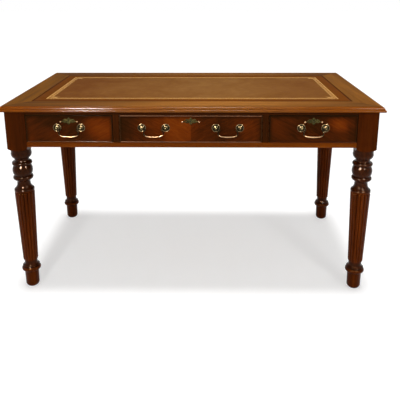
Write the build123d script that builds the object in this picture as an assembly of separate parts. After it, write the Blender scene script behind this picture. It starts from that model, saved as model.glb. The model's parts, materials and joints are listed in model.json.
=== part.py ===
from build123d import *
import math
import os

# A library writing table: a leather-lined top with a moulded edge, three drawers in the front
# frieze and four turned, reeded legs. Millimetres, Z up, the front faces -Y, and the origin is on
# the floor under the middle of the top.

# Overall sizes
table_width = 1470.0
table_depth = 790.0
table_height = 786.0

# Top
top_thickness = 22.0
top_overhang = 20.0
top_border_width = 102.0
nose_radius = 5.0
edge_fillet_height = 2.0
edge_step_height = 1.6
edge_arris_radius = 0.8
tongue_length = 8.0
tongue_thickness = 8.0
tongue_end_gap = 0.2
leather_recess = 1.6
leather_thickness = 1.2
leather_joint_width = 1.6

# Legs
leg_post_size = 78.0
post_drop = 14.0
post_corner_height = 9.0
post_arris_radius = 1.0
reed_count = 16
reed_overlap_share = 1.04
reed_top_share = 0.6925
reed_bottom_share = 0.209
reeded_top_radius = 38.9
reeded_bottom_radius = 29.7

# Frieze
frieze_height = 144.0
apron_thickness = 22.0
apron_setback = 2.0
bottom_rail_thickness = 20.0
top_rail_thickness = 14.0
rail_depth = 60.0
rail_bead_radius = 2.0
muntin_width = 24.0
centre_opening_width = 550.0
tenon_length = 25.0
tenon_thickness = 8.0
tenon_shoulder = 8.0
muntin_tenon_length = 8.0
mortise_side_gap = 0.05
mortise_end_gap = 1.0

# Drawers
drawer_gap = 1.5
drawer_depth = 600.0
drawer_front_thickness = 20.0
drawer_side_thickness = 10.0
drawer_side_drop = 5.0
drawer_slide_gap = 0.3
drawer_back_thickness = 10.0
drawer_back_inset = 12.0
drawer_dado_depth = 3.0
drawer_bottom_thickness = 6.0
drawer_bottom_height = 8.0
drawer_groove_depth = 5.0
dovetail_count = 3
dovetail_length = 9.0
dovetail_root_share = 0.5
dovetail_tip_share = 0.7
bead_width = 3.5
bead_depth = 9.0
bead_projection = 2.5
bead_round_radius = 1.2

# Drawer running gear
runner_thickness = 18.0
runner_bearing = 24.0
runner_tenon_length = 6.0
runner_tenon_shoulder = 6.0
guide_height = 14.0
guide_thickness = 14.0
guide_gap = 0.5
stop_length = 24.0
stop_depth = 14.0
stop_height = 7.0
stop_gap = 0.3

# Top fixings
button_length = 34.0
button_width = 28.0
button_thickness = 14.0
button_tongue_length = 6.0
button_tongue_thickness = 6.0
button_groove_depth = 7.0
button_groove_gap = 0.3
screw_radius = 2.0
screw_head_radius = 4.0
screw_head_height = 3.0
screw_bite = 12.0
screw_fit_gap = 0.05
side_button_y_share = 0.42

# Handles, above the middle of the drawer fronts
handle_rise = 4.5
handle_post_spacing = 92.0
centre_handle_offset = 142.0
rosette_radius = 16.0
rosette_rim_radius = 2.0
rosette_dish_radius = 11.0
rosette_thickness = 2.0
rosette_boss_radius = 7.0
rosette_boss_height = 3.6
post_ball_radius = 6.0
post_neck_radius = 3.2
post_neck_length = 4.0
post_shank_radius = 2.5
post_shank_gap = 0.06
nut_flats = 10.0
nut_thickness = 4.0
nut_thread_gap = 0.04
post_end_length = 1.5
bail_radius = 2.3
bail_bore_gap = 0.07
bail_end_gap = 0.6
bail_drop = 33.0
bail_shoulder_drop = 19.0
bail_neck_half_span = 29.5
bail_widest_half_span = 39.5
bail_foot_half_span = 29.0
bail_neck_bend = 4.0
bail_shoulder_bend = 10.0
bail_foot_bend = 11.0

# Escutcheons and locks, below the top of the drawer fronts
keyhole_drop = 22.5
escutcheon_thickness = 1.6
escutcheon_half_width = 35.0
escutcheon_body_half_width = 11.0
escutcheon_body_half_height = 10.5
escutcheon_lobe_radius = 7.5
escutcheon_lobe_offset = 15.0
escutcheon_finial_radius = 3.5
escutcheon_tip_radius = 3.0
escutcheon_tip_drop = 3.0
escutcheon_arm_height = 3.6
escutcheon_eye_radius = 2.6
escutcheon_slit_radius = 1.3
keyhole_radius = 2.2
keyhole_slot_width = 2.2
keyhole_slot_length = 6.5
lock_case_width = 58.0
lock_case_height = 34.0
lock_case_thickness = 12.0
lock_recess_depth = 8.0
bolt_width = 18.0
bolt_thickness = 5.0
bolt_length = 20.0
bolt_travel = 8.0
bolt_slot_gap = 0.2
bolt_mortise_gap = 1.0
bolt_mortise_end_gap = 3.0

# Cuts run past the faces that they open by this much
cut_overrun = 5.0

# Places worked out from the sizes above
half_width = table_width / 2
half_depth = table_depth / 2
frieze_top = table_height - top_thickness
frieze_bottom = frieze_top - frieze_height
turned_height = frieze_bottom - post_drop
reed_top = reed_top_share * turned_height
reed_bottom = reed_bottom_share * turned_height
post_x_out = half_width - top_overhang
post_x_in = post_x_out - leg_post_size
post_y_out = half_depth - top_overhang
post_y_in = post_y_out - leg_post_size
leg_x = post_x_out - leg_post_size / 2
leg_y = post_y_out - leg_post_size / 2
front_face_y = -(post_y_out - apron_setback)
rail_back_y = front_face_y + rail_depth
apron_x_out = post_x_out - apron_setback
apron_x_in = apron_x_out - apron_thickness
apron_back_out = post_y_out - apron_setback
apron_back_in = apron_back_out - apron_thickness
opening_bottom = frieze_bottom + bottom_rail_thickness
opening_top = frieze_top - top_rail_thickness
muntin_x_in = centre_opening_width / 2
muntin_x_out = muntin_x_in + muntin_width
muntin_x = muntin_x_in + muntin_width / 2
drawer_floor = opening_bottom + drawer_slide_gap
handle_height = (opening_bottom + opening_top) / 2 + handle_rise
keyhole_height = opening_top - drawer_gap - keyhole_drop
core_top = table_height - leather_recess
tongue_low = frieze_top + (top_thickness - leather_recess - tongue_thickness) / 2
ball_y = front_face_y - rosette_boss_height - post_neck_length - post_ball_radius
drawer_openings = {
    "left": (-post_x_in, -muntin_x_out),
    "centre": (-muntin_x_in, muntin_x_in),
    "right": (muntin_x_out, post_x_in),
}

# One leg's outline from the post down to the floor. Each row gives where a stretch ends, as a
# share of the turned height and of half the post's size, and how far the stretch bulges out,
# as a share of half the post's size.
leg_turning_shares = [
    (0.977, 1.000, 0.0),
    (0.934, 0.730, 0.13),
    (0.921, 0.705, 0.0),
    (0.914, 0.830, -0.03),
    (0.888, 0.850, 0.165),
    (0.882, 0.890, 0.0),
    (0.822, 0.890, 0.120),
    (0.816, 0.860, 0.0),
    (0.787, 0.825, 0.16),
    (0.762, 0.665, -0.07),
    (0.725, 0.950, -0.08),
    (0.712, 0.995, 0.03),
    (0.704, 0.985, 0.01),
    (0.701, 0.825, 0.0),
    (0.209, 0.635, 0.0),
    (0.184, 0.665, 0.0),
    (0.166, 0.770, -0.04),
    (0.163, 0.830, 0.0),
    (0.156, 0.830, 0.045),
    (0.154, 0.790, 0.0),
    (0.122, 0.790, 0.19),
    (0.118, 0.730, 0.0),
    (0.030, 0.705, 0.0),
    (0.000, 0.385, 0.10),
]


def block(low, high, grow=0.0):
    """A box from its lowest to its highest corner, grown on every side."""
    size = [high[i] - low[i] + 2 * grow for i in range(3)]
    middle = [(high[i] + low[i]) / 2 for i in range(3)]
    return Pos(*middle) * Box(*size)


def prism_xy(corners, z_low, z_high):
    """An upright prism on a polygon of plan corners."""
    return extrude(Plane.XY.offset(z_low) * make_face(Polyline(*corners, close=True)), z_high - z_low)


def prism_xz(corners, y_front, y_back):
    """A prism through the table's depth on a polygon of (x, z) corners."""
    face = make_face(Polyline(*[(x, y_front, z) for x, z in corners], close=True))
    return extrude(face, y_back - y_front, dir=(0, 1, 0))


def prism_yz(corners, x_low, x_high):
    """A prism across the table's width on a polygon of (y, z) corners."""
    face = make_face(Polyline(*[(x_low, y, z) for y, z in corners], close=True))
    return extrude(face, x_high - x_low, dir=(1, 0, 0))


def write(name, *solids):
    """Write the solids of one node to its own STEP file."""
    shape = solids[0] if len(solids) == 1 else Compound(children=list(solids))
    shape.label = name
    export_step(shape, os.path.join("parts", name + ".step"))


# Top


def border_section(nose_y):
    """The moulded edge and the tongue's groove, across one border board."""
    inner = nose_y + top_border_width
    groove = inner - tongue_length
    nose = nose_y + nose_radius
    ovolo_low = frieze_top + 2 * nose_radius + edge_fillet_height
    ovolo_high = table_height - edge_step_height
    ovolo_radius = ovolo_high - ovolo_low
    arris = nose + ovolo_radius
    ovolo_reach = ovolo_radius * math.sqrt(0.5)
    arris_cut = edge_arris_radius * (1 - math.sqrt(0.5))
    with BuildSketch(Plane.YZ) as section:
        with BuildLine():
            ThreePointArc((nose, frieze_top), (nose_y, frieze_top + nose_radius),
                          (nose, frieze_top + 2 * nose_radius))
            Line((nose, frieze_top + 2 * nose_radius), (nose, ovolo_low))
            ThreePointArc((nose, ovolo_low), (arris - ovolo_reach, ovolo_low + ovolo_reach),
                          (arris, ovolo_high))
            Line((arris, ovolo_high), (arris, table_height - edge_arris_radius))
            ThreePointArc((arris, table_height - edge_arris_radius),
                          (arris + arris_cut, table_height - arris_cut),
                          (arris + edge_arris_radius, table_height))
            Polyline((arris + edge_arris_radius, table_height), (inner, table_height),
                     (inner, tongue_low + tongue_thickness), (groove, tongue_low + tongue_thickness),
                     (groove, tongue_low), (inner, tongue_low), (inner, frieze_top), (nose, frieze_top))
        make_face()
    return section.sketch


def border_board(run, reach):
    """One border board along X, mitred at both ends, with its nose at -reach."""
    board = Pos(-run / 2, 0, 0) * extrude(border_section(-reach), run, dir=(1, 0, 0))
    inner = run / 2 - top_border_width
    corners = [(-run / 2, -reach), (run / 2, -reach),
               (inner, top_border_width - reach), (-inner, top_border_width - reach)]
    return board & prism_xy(corners, frieze_top, table_height)


def top_core():
    """The panel under the leather, with a tongue all round."""
    x = half_width - top_border_width
    y = half_depth - top_border_width
    reach = tongue_length - tongue_end_gap
    core = block((-x, -y, frieze_top), (x, y, core_top))
    return core + block((-x - reach, -y - reach, tongue_low),
                        (x + reach, y + reach, tongue_low + tongue_thickness))


def leather_panel():
    """The leather, lying in the recess of the core with a narrow joint round it."""
    x = half_width - top_border_width - leather_joint_width
    y = half_depth - top_border_width - leather_joint_width
    return block((-x, -y, core_top), (x, y, core_top + leather_thickness))


# Legs


def turned_leg():
    """Everything of the leg that comes off the lathe, before the reeds are added."""
    half = leg_post_size / 2
    start = (half, turned_height)
    with BuildSketch(Plane.XZ) as section:
        with BuildLine():
            Line((0, turned_height), start)
            for height_share, radius_share, bulge_share in leg_turning_shares:
                end = (radius_share * half, height_share * turned_height)
                if bulge_share:
                    SagittaArc(start, end, bulge_share * half)
                else:
                    Line(start, end)
                start = end
            Polyline(start, (0, 0), (0, turned_height))
        make_face()
    return revolve(section.sketch, Axis.Z)


def reed_circle(outer_radius):
    """The radius of the circle of reed centres, and a reed's own radius, inside an outer radius."""
    half_pitch = math.sin(math.pi / reed_count) * reed_overlap_share
    circle = outer_radius / (1 + half_pitch)
    return circle, circle * half_pitch


def reeds():
    """Tapered reeds with round ends, standing side by side round the column."""
    top_circle, top_radius = reed_circle(reeded_top_radius)
    low_circle, low_radius = reed_circle(reeded_bottom_radius)
    low = Vector(low_circle, 0, reed_bottom)
    high = Vector(top_circle, 0, reed_top)
    along = high - low
    lean = Plane(origin=(low + high) / 2, z_dir=along)
    reed = lean * Cone(low_radius, top_radius, along.length)
    reed += Pos(*high) * Sphere(top_radius)
    reed += Pos(*low) * Sphere(low_radius)
    return [Rot(0, 0, 360 * i / reed_count) * reed for i in range(reed_count)]


def leg_post():
    """The square post, its lower corners rounded off where the turning starts."""
    half = leg_post_size / 2
    post = block((-half, -half, turned_height), (half, half, frieze_top))
    post = fillet(post.edges().filter_by(Axis.Z), post_arris_radius)
    corner = half * math.sqrt(2)
    turn_top = turned_height + post_corner_height
    with BuildSketch(Plane.XZ) as section:
        with BuildLine():
            Polyline((0, turned_height), (0, frieze_top), (corner, frieze_top), (corner, turn_top))
            RadiusArc((corner, turn_top), (half, turned_height), corner - half)
            Line((half, turned_height), (0, turned_height))
        make_face()
    return post & revolve(section.sketch, Axis.Z)


def leg_blank():
    """One whole leg on the Z axis, without mortises."""
    return turned_leg().fuse(leg_post(), *reeds())


def leg(blank, side, end, mortises):
    """A leg at its corner, cut for each tenon that enters it."""
    placed = Pos(side * leg_x, end * leg_y, 0) * blank
    for mortise in mortises:
        placed -= mortise
    return placed


# Tenons are boxes given by two corners, so that a mortise is the same box made a little larger


def rail_tenon(side, z_low, z_high):
    """The tenon at one end of a front rail."""
    shoulder = (z_high - z_low - tenon_thickness) / 2
    xs = sorted((side * post_x_in, side * (post_x_in + tenon_length)))
    return ((xs[0], front_face_y + tenon_shoulder, z_low + shoulder),
            (xs[1], rail_back_y - tenon_shoulder, z_high - shoulder))


def side_apron_tenon(side, end):
    """The tenon at one end of a side apron."""
    middle = side * (apron_x_in + apron_thickness / 2)
    ys = sorted((end * post_y_in, end * (post_y_in + tenon_length)))
    return ((middle - tenon_thickness / 2, ys[0], frieze_bottom + tenon_shoulder),
            (middle + tenon_thickness / 2, ys[1], frieze_top - tenon_shoulder))


def back_apron_tenon(side):
    """The tenon at one end of the back apron."""
    middle = apron_back_in + apron_thickness / 2
    xs = sorted((side * post_x_in, side * (post_x_in + tenon_length)))
    return ((xs[0], middle - tenon_thickness / 2, frieze_bottom + tenon_shoulder),
            (xs[1], middle + tenon_thickness / 2, frieze_top - tenon_shoulder))


def muntin_tenon(side, z_low, z_high):
    """The tenon at the top or the bottom of a muntin."""
    middle = side * muntin_x
    return ((middle - tenon_thickness / 2, front_face_y + tenon_shoulder, z_low),
            (middle + tenon_thickness / 2, rail_back_y - tenon_shoulder, z_high))


def mortise_for(tenon, axis):
    """The hole for a tenon: a close fit on its sides and a little deeper at its end."""
    low, high = tenon
    low = [low[i] - (mortise_end_gap if i == axis else mortise_side_gap) for i in range(3)]
    high = [high[i] + (mortise_end_gap if i == axis else mortise_side_gap) for i in range(3)]
    return block(low, high)


def front_rail(z_low, z_high):
    """A front rail between the posts, with a tenon at each end."""
    rail = block((-post_x_in, front_face_y, z_low), (post_x_in, rail_back_y, z_high))
    for side in (-1, 1):
        rail += block(*rail_tenon(side, z_low, z_high))
    return rail


def front_top_rail(bolt_mortises):
    """The rail above the drawers, mortised for the muntins and for each lock's bolt."""
    rail = front_rail(opening_top, frieze_top)
    for side in (-1, 1):
        rail -= mortise_for(muntin_tenon(side, opening_top, opening_top + muntin_tenon_length), 2)
    for mortise in bolt_mortises:
        rail -= mortise
    return rail


def front_bottom_rail():
    """The rail below the drawers, with a small bead worked on its lower front edge."""
    rail = front_rail(frieze_bottom, opening_bottom)
    low_front = rail.edges().filter_by(Axis.X).group_by(Axis.Y)[0].sort_by(Axis.Z)[0]
    rail = fillet(low_front, rail_bead_radius)
    for side in (-1, 1):
        rail -= mortise_for(muntin_tenon(side, opening_bottom - muntin_tenon_length, opening_bottom), 2)
    return rail


def muntin(side):
    """The short upright between two drawers."""
    xs = sorted((side * muntin_x_in, side * muntin_x_out))
    body = block((xs[0], front_face_y, opening_bottom), (xs[1], rail_back_y, opening_top))
    body += block(*muntin_tenon(side, opening_bottom - muntin_tenon_length, opening_bottom))
    body += block(*muntin_tenon(side, opening_top, opening_top + muntin_tenon_length))
    return body


def side_apron(side):
    """A side apron with its tenons and the groove for the top's buttons."""
    xs = sorted((side * apron_x_in, side * apron_x_out))
    board = block((xs[0], -post_y_in, frieze_bottom), (xs[1], post_y_in, frieze_top))
    for end in (-1, 1):
        board += block(*side_apron_tenon(side, end))
    groove_xs = sorted((side * (apron_x_in - cut_overrun), side * (apron_x_in + button_groove_depth)))
    low_z = frieze_top - button_thickness
    return board - block((groove_xs[0], -post_y_in + tenon_shoulder, low_z),
                         (groove_xs[1], post_y_in - tenon_shoulder, low_z + button_tongue_thickness),
                         button_groove_gap)


def back_apron(runner_mortises):
    """The back apron with its tenons, the buttons' groove and housings for the runners."""
    board = block((-post_x_in, apron_back_in, frieze_bottom), (post_x_in, apron_back_out, frieze_top))
    for side in (-1, 1):
        board += block(*back_apron_tenon(side))
    low_z = frieze_top - button_thickness
    groove_x = post_x_in - tenon_shoulder
    board -= block((-groove_x, apron_back_in - cut_overrun, low_z),
                   (groove_x, apron_back_in + button_groove_depth, low_z + button_tongue_thickness),
                   button_groove_gap)
    for mortise in runner_mortises:
        board -= mortise
    return board


# Drawer running gear


def runner_tenon(x_low, x_high):
    """The stub at the back end of a runner, let into the back apron."""
    z_low = opening_bottom - runner_thickness + runner_tenon_shoulder
    return ((x_low + runner_tenon_shoulder, apron_back_in, z_low),
            (x_high - runner_tenon_shoulder, apron_back_in + runner_tenon_length,
             opening_bottom - runner_tenon_shoulder))


def muntin_runner_span(side):
    """The x limits of a runner behind a muntin, which carries a drawer on each side."""
    return sorted((side * (muntin_x_in - runner_bearing), side * (muntin_x_out + runner_bearing)))


def side_runner_span(side):
    """The x limits of a runner's bearing strip beside a post."""
    return sorted((side * post_x_in, side * (post_x_in - runner_bearing)))


def runner(span, side=0):
    """A drawer runner from the front rail to the back apron, out to the side apron at an end."""
    low_z = opening_bottom - runner_thickness
    body = block((span[0], rail_back_y, low_z), (span[1], apron_back_in, opening_bottom))
    body += block(*runner_tenon(*span))
    if side:
        xs = sorted((side * post_x_in, side * apron_x_in))
        body += block((xs[0], -post_y_in, low_z), (xs[1], post_y_in, opening_bottom))
    return body


def muntin_guide(side):
    """The strip on a muntin's runner that keeps the drawers on both sides straight."""
    inner = muntin_x_in - drawer_gap + guide_gap
    outer = muntin_x_out + drawer_gap - guide_gap
    xs = sorted((side * inner, side * outer))
    return block((xs[0], rail_back_y, opening_bottom), (xs[1], apron_back_in, opening_bottom + guide_height))


def side_guide(side):
    """The strip on an end runner that keeps the side drawer straight."""
    inner = post_x_in - drawer_gap + guide_gap
    xs = sorted((side * inner, side * (inner + guide_thickness)))
    return block((xs[0], -post_y_in, opening_bottom), (xs[1], post_y_in, opening_bottom + guide_height))


def kicker(span):
    """The strip over the drawer sides that stops an open drawer from tipping."""
    return block((span[0], rail_back_y, opening_top), (span[1], apron_back_in, frieze_top))


def drawer_stops():
    """Two small blocks behind each drawer front, on the rail that it runs over."""
    y_low = front_face_y + drawer_front_thickness + stop_gap
    stops = []
    for x_low, x_high in drawer_openings.values():
        quarter = (x_high - x_low) / 4
        for x in (x_low + quarter, x_high - quarter):
            stops.append(block((x - stop_length / 2, y_low, opening_bottom),
                               (x + stop_length / 2, y_low + stop_depth, opening_bottom + stop_height)))
    return stops


# Fixings of the top


def button_places():
    """Where the buttons stand: a point on the apron's inner face and the direction inwards."""
    y = side_button_y_share * post_y_in
    x = (muntin_x_out + post_x_in) / 2
    places = [(side * apron_x_in, end * y, (-side, 0)) for side in (-1, 1) for end in (-1, 1)]
    return places + [(step * x, apron_back_in, (0, -1)) for step in (-1, 0, 1)]


def button_at(x, y, inward):
    """One wooden button: a block under the top with a tongue in the apron's groove."""
    low_z = frieze_top - button_thickness
    body = block((0, -button_width / 2, low_z), (button_length, button_width / 2, frieze_top))
    body += block((-button_tongue_length, -button_width / 2, low_z),
                  (0, button_width / 2, low_z + button_tongue_thickness))
    body -= screw_shape(button_length / 2, screw_fit_gap)
    return placed_button(body, x, y, inward)


def screw_shape(x, gap):
    """A countersunk screw up through a button into the top, or the hole for it."""
    low_z = frieze_top - button_thickness
    length = button_thickness + screw_bite
    shank = Pos(x, 0, low_z + length / 2) * Cylinder(screw_radius + gap, length)
    head = Pos(x, 0, low_z + screw_head_height / 2) * Cone(screw_head_radius + gap, screw_radius + gap,
                                                           screw_head_height)
    return shank + head


def placed_button(shape, x, y, inward):
    """Turn a button or screw made along +X to point inwards from its place on the apron."""
    return Pos(x, y, 0) * Rot(0, 0, math.degrees(math.atan2(inward[1], inward[0]))) * shape


# Drawers


def drawer_span(name):
    """The x limits of a drawer's front."""
    x_low, x_high = drawer_openings[name]
    return x_low + drawer_gap, x_high - drawer_gap


def drawer_middle(name):
    """The x of a drawer's middle."""
    return sum(drawer_openings[name]) / 2


def dovetails(x_out, x_in):
    """The tails on one drawer side, which lap into the back of the front."""
    z_low = drawer_floor + drawer_bottom_height + drawer_bottom_thickness
    z_high = opening_top - drawer_gap - drawer_side_drop
    pitch = (z_high - z_low) / dovetail_count
    shoulder = front_face_y + drawer_front_thickness
    tails = []
    for i in range(dovetail_count):
        z = z_low + (i + 0.5) * pitch
        root = pitch * dovetail_root_share / 2
        tip = pitch * dovetail_tip_share / 2
        corners = [(shoulder, z - root), (shoulder - dovetail_length, z - tip),
                   (shoulder - dovetail_length, z + tip), (shoulder, z + root)]
        tails.append(prism_yz(corners, min(x_out, x_in), max(x_out, x_in)))
    return tails


def handle_centres(name):
    """The x of the middle of each handle on a drawer."""
    middle = drawer_middle(name)
    if name == "centre":
        return [middle - centre_handle_offset, middle + centre_handle_offset]
    return [middle]


def post_places(name):
    """The x of every handle post on a drawer."""
    half = handle_post_spacing / 2
    return [x + step * half for x in handle_centres(name) for step in (-1, 1)]


def keyhole(x):
    """The keyhole's outline, cut through the front and the escutcheon."""
    y_front = front_face_y - escutcheon_thickness - cut_overrun
    y_back = front_face_y + drawer_front_thickness - lock_recess_depth
    depth = y_back - y_front
    hole = Pos(x, (y_front + y_back) / 2, keyhole_height) * Rot(90, 0, 0) * Cylinder(
        keyhole_radius, depth)
    slot = block((x - keyhole_slot_width / 2, y_front, keyhole_height - keyhole_slot_length),
                 (x + keyhole_slot_width / 2, y_back, keyhole_height))
    return hole + slot


def drawer_front(name):
    """A drawer front with its bead's rebate, dovetail sockets, groove, lock recess and holes."""
    x_low, x_high = drawer_span(name)
    z_low = opening_bottom + drawer_gap
    z_high = opening_top - drawer_gap
    back = front_face_y + drawer_front_thickness
    front = block((x_low + bead_width, front_face_y, z_low + bead_width),
                  (x_high - bead_width, back, z_high - bead_width))
    front += block((x_low, front_face_y + bead_depth, z_low), (x_high, back, z_high))
    inner_low = x_low + drawer_side_thickness
    inner_high = x_high - drawer_side_thickness
    for tail in dovetails(x_low, inner_low) + dovetails(x_high, inner_high):
        front -= tail
    groove_low = drawer_floor + drawer_bottom_height
    front -= block((inner_low, back - drawer_groove_depth, groove_low),
                   (inner_high, back + cut_overrun, groove_low + drawer_bottom_thickness))
    middle = drawer_middle(name)
    front -= block((middle - lock_case_width / 2, back - lock_recess_depth, z_high - lock_case_height),
                   (middle + lock_case_width / 2, back + cut_overrun, z_high + cut_overrun))
    front -= keyhole(middle)
    for x in post_places(name):
        front -= post_bore(x)
    return front


def post_bore(x):
    """The hole through a drawer front for a handle post's shank."""
    return Pos(x, front_face_y, handle_height) * Rot(90, 0, 0) * Cylinder(
        post_shank_radius + post_shank_gap, 2 * (drawer_front_thickness + cut_overrun))


def drawer_sides(name):
    """The two sides, tailed at the front, grooved for the bottom and housed for the back."""
    x_low, x_high = drawer_span(name)
    y_front = front_face_y + drawer_front_thickness
    y_back = front_face_y + drawer_depth
    z_high = opening_top - drawer_gap - drawer_side_drop
    groove_low = drawer_floor + drawer_bottom_height
    groove_high = groove_low + drawer_bottom_thickness
    sides = []
    for x_out, inward in ((x_low, 1), (x_high, -1)):
        x_in = x_out + inward * drawer_side_thickness
        xs = sorted((x_out, x_in))
        side = block((xs[0], y_front, drawer_floor), (xs[1], y_back, z_high))
        for tail in dovetails(x_out, x_in):
            side += tail
        groove_xs = sorted((x_in + inward * cut_overrun, x_in - inward * drawer_groove_depth))
        side -= block((groove_xs[0], y_front, groove_low), (groove_xs[1], y_back + cut_overrun, groove_high))
        dado_xs = sorted((x_in + inward * cut_overrun, x_in - inward * drawer_dado_depth))
        dado_back = y_back - drawer_back_inset
        side -= block((dado_xs[0], dado_back - drawer_back_thickness, groove_high),
                      (dado_xs[1], dado_back, z_high + cut_overrun))
        sides.append(side)
    return sides


def drawer_back(name):
    """The back, housed between the sides above the bottom board."""
    x_low, x_high = drawer_span(name)
    inset = drawer_side_thickness - drawer_dado_depth
    y_high = front_face_y + drawer_depth - drawer_back_inset
    z_low = drawer_floor + drawer_bottom_height + drawer_bottom_thickness
    z_high = opening_top - drawer_gap - drawer_side_drop
    return block((x_low + inset, y_high - drawer_back_thickness, z_low), (x_high - inset, y_high, z_high))


def drawer_bottom(name):
    """The bottom board, in the grooves of the sides and of the front."""
    x_low, x_high = drawer_span(name)
    reach = drawer_side_thickness - drawer_groove_depth
    y_front = front_face_y + drawer_front_thickness
    y_back = front_face_y + drawer_depth
    z_low = drawer_floor + drawer_bottom_height
    z_high = z_low + drawer_bottom_thickness
    board = block((x_low + reach, y_front, z_low), (x_high - reach, y_back, z_high))
    inner_low = x_low + drawer_side_thickness
    inner_high = x_high - drawer_side_thickness
    return board + block((inner_low, y_front - drawer_groove_depth, z_low), (inner_high, y_front, z_high))


def cock_bead(name):
    """Four mitred strips round the drawer front, rounded where they stand proud."""
    x_low, x_high = drawer_span(name)
    z_low = opening_bottom + drawer_gap
    z_high = opening_top - drawer_gap
    y_front = front_face_y - bead_projection
    y_back = front_face_y + bead_depth
    ring = block((x_low, y_front, z_low), (x_high, y_back, z_high))
    ring -= block((x_low + bead_width, y_front - cut_overrun, z_low + bead_width),
                  (x_high - bead_width, y_back + cut_overrun, z_high - bead_width))
    face = ring.faces().sort_by(Axis.Y)[0]
    ring = fillet(face.edges(), bead_round_radius)
    outer = [(x_low, z_low), (x_high, z_low), (x_high, z_high), (x_low, z_high)]
    inner = [(x_low + bead_width, z_low + bead_width), (x_high - bead_width, z_low + bead_width),
             (x_high - bead_width, z_high - bead_width), (x_low + bead_width, z_high - bead_width)]
    strips = []
    for i in range(4):
        j = (i + 1) % 4
        wedge = prism_xz([outer[i], outer[j], inner[j], inner[i]], y_front, y_back)
        strips.append(ring & wedge)
    return strips


# Brasses


def escutcheon_outline():
    """The pierced plate's shape about its keyhole, x across and y up."""
    plate = Ellipse(escutcheon_body_half_width, escutcheon_body_half_height)
    arm_length = escutcheon_half_width - escutcheon_tip_radius
    arm_lean = math.degrees(math.atan2(escutcheon_tip_drop, arm_length))
    arm = Rectangle(arm_length, escutcheon_arm_height)
    eye_offset = escutcheon_lobe_offset + escutcheon_eye_radius
    for side in (-1, 1):
        plate += Pos(side * escutcheon_lobe_offset, 0) * Circle(escutcheon_lobe_radius)
        plate += Pos(side * arm_length / 2, -escutcheon_tip_drop / 2) * Rot(0, 0, -side * arm_lean) * arm
        plate += Pos(side * arm_length, -escutcheon_tip_drop) * Circle(escutcheon_tip_radius)
        plate += Pos(0, side * escutcheon_body_half_height) * Circle(escutcheon_finial_radius)
    for side in (-1, 1):
        plate -= Pos(side * eye_offset, 0) * Circle(escutcheon_eye_radius)
        for step in (-1, 1):
            plate -= Pos(side * escutcheon_body_half_width / 2,
                         step * escutcheon_body_half_height / 2) * Circle(escutcheon_slit_radius)
    return plate


def escutcheon(name):
    """The pierced plate on a drawer front, with its keyhole."""
    middle = drawer_middle(name)
    origin = (middle, front_face_y, keyhole_height)
    place = Plane(origin=origin, x_dir=(1, 0, 0), z_dir=(0, -1, 0))
    plate = extrude(place * escutcheon_outline(), escutcheon_thickness)
    return plate - keyhole(middle)


def lock_case(name):
    """The lock's case, let into the back of the front, with a slot for its bolt."""
    middle = drawer_middle(name)
    z_high = opening_top - drawer_gap
    y_front = front_face_y + drawer_front_thickness - lock_recess_depth
    case = block((middle - lock_case_width / 2, y_front, z_high - lock_case_height),
                 (middle + lock_case_width / 2, y_front + lock_case_thickness, z_high))
    return case - bolt_box(name, z_high - bolt_length, z_high + cut_overrun, bolt_slot_gap)


def bolt_box(name, z_low, z_high, gap=0.0):
    """The lock bolt's plan, between two heights, or the slot or mortise for it."""
    middle = drawer_middle(name)
    y_front = front_face_y + drawer_front_thickness - lock_recess_depth
    y = y_front + (lock_case_thickness - bolt_thickness) / 2
    return block((middle - bolt_width / 2 - gap, y - gap, z_low),
                 (middle + bolt_width / 2 + gap, y + bolt_thickness + gap, z_high))


def lock_bolt(name):
    """The bolt, drawn down flush with the top of its case."""
    z_high = opening_top - drawer_gap
    return bolt_box(name, z_high - bolt_length, z_high)


def bolt_mortise(name):
    """The hole in the top rail that the thrown bolt enters."""
    thrown_top = opening_top - drawer_gap + bolt_travel
    return bolt_box(name, opening_top - cut_overrun, thrown_top + bolt_mortise_end_gap, bolt_mortise_gap)


def rosette(x):
    """A round plate under a handle post: a raised rim, a dished field and a boss."""
    bore = post_shank_radius + post_shank_gap
    rim_in = rosette_radius - 2 * rosette_rim_radius
    with BuildSketch(Plane.XZ) as section:
        with BuildLine():
            Polyline((bore, 0), (rosette_radius, 0), (rosette_radius, rosette_thickness / 2))
            ThreePointArc((rosette_radius, rosette_thickness / 2),
                          (rosette_radius - rosette_rim_radius, rosette_thickness / 2 + rosette_rim_radius),
                          (rim_in, rosette_thickness / 2))
            Line((rim_in, rosette_thickness / 2), (rosette_dish_radius, rosette_thickness / 2))
            ThreePointArc((rosette_dish_radius, rosette_thickness / 2),
                          ((rosette_dish_radius + rosette_boss_radius) / 2, rosette_thickness),
                          (rosette_boss_radius, rosette_thickness))
            Polyline((rosette_boss_radius, rosette_thickness), (rosette_boss_radius, rosette_boss_height),
                     (bore, rosette_boss_height), (bore, 0))
        make_face()
    plate = revolve(section.sketch, Axis.Z)
    return Pos(x, front_face_y, handle_height) * Rot(90, 0, 0) * plate


def handle_post(x):
    """A post: a bored ball on a neck, and a shank that passes through the front."""
    through = drawer_front_thickness + nut_thickness + post_end_length
    shank = Cylinder(post_shank_radius, through + rosette_boss_height,
                     align=(Align.CENTER, Align.CENTER, Align.MAX))
    neck = Cylinder(post_neck_radius, post_neck_length + post_ball_radius,
                    align=(Align.CENTER, Align.CENTER, Align.MIN))
    shape = Pos(0, 0, rosette_boss_height) * (shank + neck)
    ball_place = rosette_boss_height + post_neck_length + post_ball_radius
    shape += Pos(0, 0, ball_place) * Sphere(post_ball_radius)
    bore = Cylinder(bail_radius + bail_bore_gap, 3 * post_ball_radius)
    shape -= Pos(0, 0, ball_place) * Rot(0, 90, 0) * bore
    return Pos(x, front_face_y, handle_height) * Rot(90, 0, 0) * shape


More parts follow.
